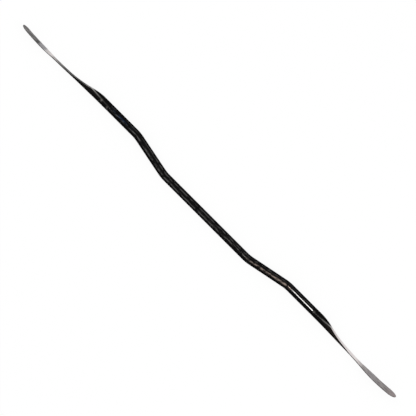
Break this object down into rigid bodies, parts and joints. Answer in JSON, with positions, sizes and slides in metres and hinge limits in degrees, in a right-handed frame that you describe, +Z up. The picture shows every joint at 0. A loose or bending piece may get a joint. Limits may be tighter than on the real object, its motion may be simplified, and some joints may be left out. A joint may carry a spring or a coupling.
{
  "type": "sculpting spatula",
  "caption": "Sculpting spatula: slim blackened round bar, cranked on each side of its grip, with a narrow forged steel blade at one end and a broader one at the other, for shaping clay or wax.",
  "frame": {"origin": "Middle of the lying tool's length and depth, on the surface it lies on", "axes": "+X along the tool towards the broad blade, +Y level and towards the side that the ends are cranked to, +Z up from the surface"},
  "size_m": [0.1996, 0.0068, 0.0058],
  "materials": {
    "bar_black": "black oxide on drawn steel, oiled, semi-gloss",
    "blade_steel": "black from the forge on the shank, ground satin on the neck and blade"
  },
  "bodies": {
    "root": {"handle_bar": "bar_black", "narrow_blade": "blade_steel", "broad_blade": "blade_steel"}
  },
  "joints": []
}
